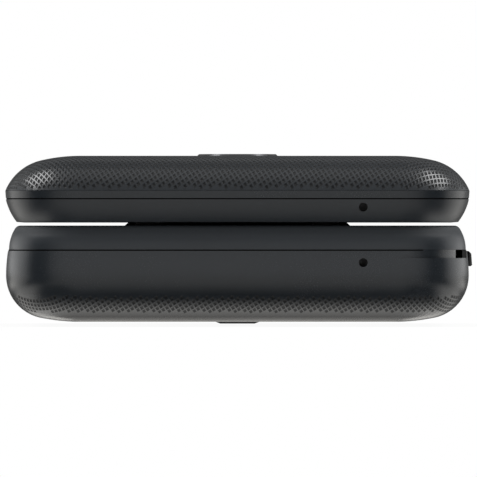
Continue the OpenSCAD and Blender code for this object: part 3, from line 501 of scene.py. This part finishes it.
def handset(bm, turn, inner=1.75, outer=2.35, ends=2.0, middle=1.65):
    """Adds a handset at an angle: a bent bar between two short ones, centred on its middle."""
    start = math.radians(35 + turn)
    sweep = math.radians(110)
    rib = [bmesh.ops.create_vert(bm, co=(r, 0, 0))["vert"][0] for r in (inner, outer)]
    bmesh.ops.rotate(bm, verts=rib, matrix=Matrix.Rotation(start, 3, "Z"))
    bmesh.ops.spin(bm, geom=rib + [bm.edges.new(rib)], cent=(0, 0, 0), axis=(0, 0, 1),
                   angle=sweep, steps=14)
    for a in (start, start + sweep):
        bar(bm, 1.5, 0.95, (ends * math.cos(a), ends * math.sin(a)), a)
    a = start + sweep / 2
    bmesh.ops.translate(bm, verts=bm.verts, vec=(-middle * math.cos(a), -middle * math.sin(a), 0))


def key(name, place, size, print_on, ink):
    """Makes a cap of a size, with the sign that print_on lays on its top."""
    cap = bmesh.new()
    r = key_corner
    closed(cap, *carried(cap, (
        (r + 0.2, key_low), (r + 0.2, key_low + key_flange), (r - 0.02, key_low + key_flange),
        (r - key_play, key_low + 0.4), (r - key_play, key_high - 0.34), (r - 0.19, key_high - 0.2),
        (r - 0.3, key_high - 0.09), (r - 0.46, key_high - 0.03), (r - 0.75, key_high - 0.005),
        (0.3, key_high)), size[0] / 2 - r, size[1] / 2 - r, 8))
    signs = bmesh.new()
    print_on(signs)
    signs.normal_update()
    bmesh.ops.reverse_faces(signs, faces=[face for face in signs.faces if face.normal.z < 0])
    bmesh.ops.translate(signs, verts=signs.verts, vec=(0, 0, key_high + print_lift))
    for face in signs.faces:
        face.material_index = 1
    joined(cap, signs)
    bmesh.ops.translate(cap, verts=cap.verts, vec=(*place, 0))
    piece_of(name + "_cap", cap, (key_lacquer, ink), name, (name,))


for i, sign in enumerate("123456789*0#"):
    name = "key_" + {"*": "star", "#": "hash"}.get(sign, sign)
    spot = ((i % 3 - 1) * digit_pitch[0], digit_row - (i // 3) * digit_pitch[1])
    key(name, spot, digit_size, lambda bm: figure(bm, sign, digit_height), white_ink)
for name, spot, print_on, ink in (
        ("soft_key_left", (-side_x, soft_y), lambda bm: bar(bm, 3.4, 0.6), white_ink),
        ("soft_key_right", (side_x, soft_y), lambda bm: bar(bm, 3.4, 0.6), white_ink),
        ("send_key", (-side_x, call_y), lambda bm: handset(bm, 100), green_ink),
        ("end_key", (side_x, call_y), lambda bm: handset(bm, 0), red_ink)):
    key(name, spot, side_size, print_on, ink)
key("clear_key", (0, 0.05), (12.0, 6.4), arrow, white_ink)

# Navigation ring and select key: turned-looking caps in dark metallic lacquer, with a fine spun
# mark round the middle of the ring. They stand in one round hole of the housing.


def lathe_rings(place, y, scale, distortion, detail):
    """Fine rings about an upright axis at y."""
    about = place.node("ShaderNodeMapping", None, {"Vector": place, "Location": (0, -y, 0)})
    return place.node("ShaderNodeTexWave", {"wave_type": "RINGS", "rings_direction": "Z"},
                      {"Vector": about, "Scale": scale, "Distortion": distortion, "Detail": detail})


spun_lacquer, place = finish("spun_lacquer", {"Coat Weight": 0.3, "Coat Roughness": 0.15})
rings = lathe_rings(place, 0.017, 1500.0, 0.6, 1.0)
flake = noise(place, 0.08)
wire(spun_lacquer, {"Base Color": between(flake, (0.07, 0.072, 0.078), (0.16, 0.163, 0.17)),
                    "Metallic": 0.55 + 0.3 * flake, "Roughness": 0.30 + 0.1 * rings,
                    "Normal": relief(rings, 0.004)})
dress(spun_lacquer, "nav_ring", "ok_key")

# Front housing: the keypad's face, the upper side walls of the base and the hinge knuckle in one
# moulding of satin charcoal plastic, matt on the keypad's face, screwed to the rear frame from below.
charcoal = (0.0150, 0.0185, 0.0225)
face_low = 0.0094
face_high = 0.0102
dress(moulded("matt_faced_charcoal", charcoal, 0.33, 0.13, 0.003, {"Specular IOR Level": 0.43},
              (1.05, 1.45), (face_low, face_high, 0.32)), "front_housing")

# Lid frame: the lid's inner shell, in the same satin charcoal as the insert of the loudspeaker.
# Behind its openings lie the black mesh of the earpiece and the displays, which are dark while
# the phone is off.
dress(moulded("satin_charcoal", charcoal, 0.33, 0.13, 0.003), "lid_frame", "speaker_grille")
dress(moulded("mesh_paint", (0.012, 0.012, 0.013), 0.5, 0.1, 0.006, {"Metallic": 0.6}), "earpiece_mesh")


def dark_display(name, size, middle, corner, blur=0.00008):
    """A window printed black behind, clear over the display's lit area, which is switched off."""
    material, place = finish(name, {"IOR": 1.4})
    local = vectors("SUBTRACT", place, (*middle, 0))
    distance = past_plan(local, size[0] / 2 - corner, size[1] / 2 - corner)[1]
    lit = place.node("ShaderNodeMapRange", None,
                     {"Value": distance, "From Min": corner, "From Max": corner + blur,
                      "To Min": 1.0, "To Max": 0.0})
    smear = noise(place, 14, 3.0)
    wire(material, {"Base Color": between(lit, (0.002, 0.002, 0.0022), (0.0085, 0.0092, 0.0105)),
                    "Roughness": 0.045 + 0.05 * smear})
    return material


dress(dark_display("main_window_glass", (0.0410, 0.0580), (0, -0.0015), 0.0006), "main_display_window")
dress(dark_display("outer_window_glass", (0.0262, 0.0196), (0, 0.014), 0.0005), "outer_display_window")
glass, place = finish("panel_glass", {"IOR": 1.5})
cloud = noise(place, 4)
wire(glass, {"Base Color": between(cloud, (0.006, 0.0065, 0.0075), (0.010, 0.0105, 0.012)),
             "Roughness": 0.1 + 0.06 * cloud})
dress(glass, "main_display_panel", "outer_display_panel")

# Lid cover and its camera. The cover is a crowned shell of charcoal plastic, moulded with small
# pointed dents between narrow lands down to a crease, and with a plain rim below it. Screws in the
# lid frame hold it, and the camera's ring is pressed into it and stands a little proud.
lid_top = 18.8
lid_x = 17.8
lid_y = 44.0
rim_top = 14.85
rim_low = 14.0
lip_low = 13.865
wall = 1.2
cover_corner = 8.5
corner_turns = 24
weld = 1e-5
diamond = moulded("diamond_charcoal", charcoal, 0.25, 0.10, 0.002)
# The lid's dents wear a darker, duller copy of the charcoal, which is painted shade in the dents.
dent_painted_shade = moulded("dent_painted_shade_charcoal", [c * 0.25 for c in charcoal], 0.5, 0.10, 0.002,
                 {"Specular IOR Level": 0.20})
joint_shade = moulded("joint_shade", (0.0015, 0.0015, 0.0016), 0.7, 0.10, 0.003,
                      {"Specular IOR Level": 0.03})


def cover_edge(drop, slope, fall=0.36):
    """Radii, turn and centre of a cover's edge: a shallow crown that runs into its shoulder."""
    shoulder = (drop - fall) / (1 - math.cos(slope))
    centre = cover_corner - shoulder * math.sin(slope)
    turn = 2 * math.atan(fall / centre)
    return {"crown": shoulder + centre / math.sin(turn), "turn": turn, "shoulder": shoulder,
            "centre": centre, "fall": fall}


def edge_point(edge, angle, inset=0.0):
    """The point of a cover's edge at an angle from straight up, inset into the wall."""
    if angle < edge["turn"]:
        r = edge["crown"]
        return (r - inset) * math.sin(angle), (r - inset) * math.cos(angle) - r
    r = edge["shoulder"]
    return (edge["centre"] + (r - inset) * math.sin(angle),
            (r - inset) * math.cos(angle) - r - edge["fall"])


def knurled(x0, y0, edge, limit, steps, shallow, land=0.10, depth=0.06):
    """Pointed dents between narrow lands over a crowned cover, cut out flat to the unrolled outline
    and then laid over the crown and the shoulder. Two steps lead from one dent to the next along
    the slanted rows, and the lands are the cover's true surface. Up to the angle shallow the dents
    are half as deep and wear the lands' finish; past it they wear the third finish, a darker and
    duller copy that is painted shade in the dents."""
    rolled = edge["crown"] * edge["turn"]
    span = rolled + edge["shoulder"] * (limit - edge["turn"])

    def unrolled(co):
        """How far a flat place lies past the corner centres, and the edge's angle there."""
        side, end = max(abs(co.x) - x0, 0), max(abs(co.y) - y0, 0)
        s = math.hypot(side, end)
        if s < rolled:
            return side, end, s, s / edge["crown"]
        return side, end, s, edge["turn"] + (s - rolled) / edge["shoulder"]

    bm = bmesh.new()
    slant = Matrix.Identity(4)
    slant.col[0][:2], slant.col[1][:2] = steps
    back = slant.inverted()
    half = max(math.ceil(abs(r[0]) * (x0 + span) + abs(r[1]) * (y0 + span)) for r in back.row[:2]) + 1
    bmesh.ops.create_grid(bm, x_segments=2 * half, y_segments=2 * half, size=half, matrix=slant)
    for way in (Vector((1, 0, 0)), Vector((-1, 0, 0)), Vector((0, 1, 0)), Vector((0, -1, 0))):
        bmesh.ops.bisect_plane(bm, geom=bm.verts[:] + bm.edges[:] + bm.faces[:], dist=weld,
                               plane_co=way * ((x0 if way.x else y0) + span), plane_no=way,
                               clear_outer=True)
    for sx in (-1, 1):
        for sy in (-1, 1):
            for i in range(corner_turns):
                a = math.pi / 2 * (i + 0.5) / corner_turns
                way = Vector((sx * math.cos(a), sy * math.sin(a), 0))
                near = [f for f in bm.faces
                        if sx * f.verts[0].co.x > x0 - 1 and sy * f.verts[0].co.y > y0 - 1]
                rim = list({e for f in near for e in f.edges})
                corners = list({v for f in near for v in f.verts})
                bmesh.ops.bisect_plane(bm, geom=corners + rim + near, dist=weld, clear_outer=True,
                                       plane_co=Vector((sx * x0, sy * y0, 0)) + way * span,
                                       plane_no=way)
    whole = [f for f in bm.faces if f.calc_area() > 0.9 * slant.determinant()]
    bmesh.ops.inset_individual(bm, faces=whole, thickness=land)
    deep = [f for f in whole if unrolled(f.calc_center_median())[3] >= shallow]
    for face in deep:
        # Slot 2 holds the painted shade of the dents.
        face.material_index = 2
    flat = [f for f in whole if not f.material_index]
    for dents, below in ((deep, depth), (flat, depth / 2)):
        bmesh.ops.poke(bm, faces=dents, offset=-below, center_mode="MEAN", use_relative_offset=False)
    for v in bm.verts:
        side, end, s, angle = unrolled(v.co)
        u, z = edge_point(edge, angle, -v.co.z)
        if s:
            v.co.x = math.copysign(min(abs(v.co.x), x0) + u * side / s, v.co.x)
            v.co.y = math.copysign(min(abs(v.co.y), y0) + u * end / s, v.co.y)
        v.co.z = z
    return bm


def cut(piece, tool):
    """Cuts a shape in millimetres out of a piece."""
    bmesh.ops.scale(tool, vec=(0.001, 0.001, 0.001), verts=tool.verts)
    bmesh.ops.recalc_face_normals(tool, faces=tool.faces)
    tool_mesh = bpy.data.meshes.new("tool")
    tool.to_mesh(tool_mesh)
    tool.free()
    cutter = bpy.data.objects.new("tool", tool_mesh)
    scene.collection.objects.link(cutter)
    modifier = piece.modifiers.new("cut", "BOOLEAN")
    modifier.object = cutter
    modifier.solver = "EXACT"
    bpy.context.view_layer.update()
    old = piece.data
    state = bpy.context.evaluated_depsgraph_get()
    piece.data = bpy.data.meshes.new_from_object(piece.evaluated_get(state))
    piece.modifiers.clear()
    bpy.data.meshes.remove(old)
    bpy.data.objects.remove(cutter)
    bpy.data.meshes.remove(tool_mesh)
    piece.data.set_sharp_from_angle(angle=math.radians(10))


def block(bm, x, y, z):
    """Adds a block between two ends on each axis."""
    middle = Matrix.Translation([(a + b) / 2 for a, b in (x, y, z)])
    size = Matrix.Diagonal([b - a for a, b in (x, y, z)] + [1])
    bmesh.ops.create_cube(bm, size=1, matrix=middle @ size)


def drill(bm, radius, depth, place, turn_axis="Z", segments=72):
    """Adds a rod for a round hole: upright, or lying after a quarter turn about an axis."""
    turn = Matrix.Rotation(0 if turn_axis == "Z" else math.pi / 2, 4, turn_axis)
    bmesh.ops.create_cone(bm, cap_ends=True, segments=segments, radius1=radius, radius2=radius,
                          depth=depth, matrix=Matrix.Translation(place) @ turn)


def slab(bm, width, length, corner, low, high, matrix):
    """Adds a block with rounded plan corners, from low to high, moved by a matrix."""
    part = bmesh.new()
    closed(part, *carried(part, ((corner, low), (corner, high)), width / 2 - corner,
                          length / 2 - corner, 10))
    bmesh.ops.transform(part, matrix=matrix, verts=part.verts)
    joined(bm, part)


lid_edge = cover_edge(4.0, math.radians(68))
cover = knurled(lid_x, lid_y, lid_edge, math.radians(67), ((0.260, -0.605), (0.413, 0.370)), 0)
bmesh.ops.translate(cover, verts=cover.verts, vec=(0, 0, lid_top))
border = [e for e in cover.edges if e.is_boundary]
inside = [edge_point(lid_edge, math.radians(a), wall) for a in (68, 52, 36, 22, 13.5, 7)]
section = [(8.42, rim_top + 0.018), (8.49, rim_top), (8.42, rim_low), (8.36, rim_low),
           (8.36, lip_low), (inside[0][0], lip_low)]
section += [(u, lid_top + z) for u, z in inside] + [(0.3, lid_top - wall)]
rim, ceiling = carried(cover, section, lid_x, lid_y, corner_turns)
bmesh.ops.bridge_loops(cover, edges=border + rim)
closed(cover, ceiling)
for face in cover.faces:
    if max(v.co.z for v in face.verts) < rim_low + 0.01:
        face.material_index = 1
lid_cover = piece_of("lid_cover_knurled", cover, (diamond, joint_shade, dent_painted_shade), "lid",
                     ("lid_cover",), 10)
openings = bmesh.new()
block(openings, (-13.2, 13.2), (46.4, 60), (10.9, 20))
slab(openings, 35.1, 27.1, 3, 18.0, 20, Matrix.Translation((0, 14, 0)))
drill(openings, 4.8, 2, (0, 36, 19.3))
cut(lid_cover, openings)
hollow = bmesh.new()
drill(hollow, 3.7, 26.4, (0, 49, 14.8), "Y")
cut(lid_cover, hollow)

trim, place = finish("anodised_trim", {"Metallic": 0.9, "Coat Weight": 0.2, "Coat Roughness": 0.1})
lathe = lathe_rings(place, 0.036, 2200.0, 0.3, 2.0)
dye = noise(place, 0.3)
wire(trim, {"Base Color": between(dye, (0.028, 0.029, 0.031), (0.05, 0.051, 0.054)),
            "Roughness": 0.22 + 0.1 * lathe, "Normal": relief(lathe, 0.003)})
dress(trim, "camera_ring")
coated, place = finish("coated_glass", {"IOR": 1.52, "Coat Weight": 1.0, "Coat Roughness": 0.0})
bloom = noise(place, 2.2)
wire(coated, {"Base Color": between(bloom, (0.002, 0.002, 0.004), (0.006, 0.004, 0.011)),
              "Roughness": 0.03 + 0.03 * bloom})
dress(coated, "camera_lens")

# Volume rocker: a separate key of matt black rubbery plastic that stands out of the side wall
# and rocks on a flange held behind it.
dress(moulded("rocker_plastic", (0.006, 0.006, 0.0064), 0.5, 0.11, 0.003, {"Specular IOR Level": 0.1}),
      "volume_rocker")

# Battery: a flat cell in a crimped can, wrapped in a bare dark film that is left without print.
# It drops into the bay of the rear frame, under the back cover.
wrap, place = finish("battery_wrap", {"Coat Weight": 0.2, "Coat Roughness": 0.25})
crease = noise(place, 6, 5.0)
fibre = noise(place, 0.15)
wire(wrap, {"Base Color": between(crease, (0.055, 0.057, 0.060), (0.095, 0.097, 0.10)),
            "Roughness": 0.38 + 0.2 * (crease - 0.5), "Normal": relief(0.8 * crease + 0.2 * fibre, 0.05)})
dress(wrap, "battery")

# Back cover: the crowned snap-off shell of the base. The same dents cover its bottom and run up its
# shoulder; its wall above them is plain and leans in to the parting line, with the microphone hole,
# the openings of the jack and the port, the rocker's notch and the fingernail slot in it.
back_x = 17.7
back_y = 43.9
bulge = 5.25
lean = 0.22
top = 8.04
lip_top = 8.175
limit = math.radians(64)
# The back's deeper dents wear a darker, duller copy of the charcoal, which is painted shade in them.
back_dent_painted_shade = moulded("back_dent_painted_shade_charcoal", [c * 0.35 for c in charcoal], 0.5, 0.10, 0.002,
                      {"Specular IOR Level": 0.23})
back_edge = cover_edge(bulge, math.pi / 2)
shell = knurled(back_x, back_y, back_edge, limit, ((0.413, -0.370), (0.260, 0.605)), math.radians(33))
border = [e for e in shell.edges if e.is_boundary]
rise = top - bulge
lean_r = (rise * rise + lean * lean) / (2 * lean)
lean_turn = math.asin(rise / lean_r)
section = [edge_point(back_edge, limit + (math.pi / 2 - limit) * i / 8) for i in range(9)]
section += [(cover_corner - lean_r * (1 - math.cos(a)), -bulge - lean_r * math.sin(a))
            for a in (lean_turn * i / 6 for i in range(1, 7))]
section += [(8.22, -top), (8.22, -lip_top), (8.28 - wall, -lip_top)]
section += [edge_point(back_edge, math.radians(a), wall) for a in (90, 72, 54, 36, 20, 11, 5)]
rim, ceiling = carried(shell, section + [(0.3, -wall)], back_x, back_y, corner_turns)
bmesh.ops.bridge_loops(shell, edges=border + rim)
bmesh.ops.scale(shell, vec=(1, 1, -1), verts=shell.verts)
closed(shell, ceiling)
for face in shell.faces:
    if min(v.co.z for v in face.verts) > top - 0.01:
        face.material_index = 1
back_cover = piece_of("back_cover_knurled", shell, (diamond, joint_shade, back_dent_painted_shade), "back_cover",
                      ("back_cover",), 10)
openings = bmesh.new()
drill(openings, 0.5, 4, (14.2, -51.4, 6.7), "X", 40)
drill(openings, 2.5, 5, (-24.7, 35, 5.2), "Y", 64)
slab(openings, 13.1, 5.1, 1.2, -1, 2, Matrix.Translation((0, 37.5, 0)))
slab(openings, 3.96, 9.64, 1.97, -2.5, 2.5,
     Matrix.Translation((-24.7, 12, 5.62)) @ Matrix.Rotation(math.pi / 2, 4, "Y"))
block(openings, (23.2, 30), (1.35, 16.65), (6.09, 9.1))
nail_slot = ((24.67, 25.45), (-56, -42), (7.21, 9.1))
block(openings, *nail_slot)
cut(back_cover, openings)
for face in back_cover.data.polygons:
    corners = [back_cover.data.vertices[i].co * 1000 for i in face.vertices]
    if all(lo - 0.01 < v < hi + 0.01 for c in corners for v, (lo, hi) in zip(c, nail_slot)):
        face.material_index = 1

# The fingernail's scoop: a bar swept round the corner beside the slot, as far as the slot's end.
scoop = bmesh.new()
scoop_r = 8.06
scoop_height, scoop_width = 2, 4
scoop_end = 25.92
pivot = Vector((back_x - 0.35, -back_y - 0.34, 8.24))
start = bmesh.ops.create_circle(
    scoop, segments=4, radius=math.sqrt(0.5),
    matrix=Matrix.Translation(pivot - Vector((0, scoop_r + scoop_width / 2, 0)))
    @ Matrix.Rotation(math.pi / 2, 4, "Y") @ Matrix.Diagonal((scoop_height, scoop_width, 1, 1))
    @ Matrix.Rotation(math.pi / 4, 4, "Z"))["verts"]
first = scoop.edges[:]
swept = bmesh.ops.spin(scoop, geom=start + first, cent=pivot, axis=(0, 0, 1),
                       angle=math.radians(89), steps=60)
last = [part for part in swept["geom_last"] if isinstance(part, bmesh.types.BMEdge)]
closed(scoop, first, last)
rim = bmesh.ops.bisect_plane(scoop, geom=scoop.verts[:] + scoop.edges[:] + scoop.faces[:], dist=weld,
                             plane_co=(scoop_end, 0, 0), plane_no=(1, 0, 0),
                             clear_outer=True)["geom_cut"]
bmesh.ops.edgeloop_fill(scoop, edges=[part for part in rim if isinstance(part, bmesh.types.BMEdge)])
cut(back_cover, scoop)
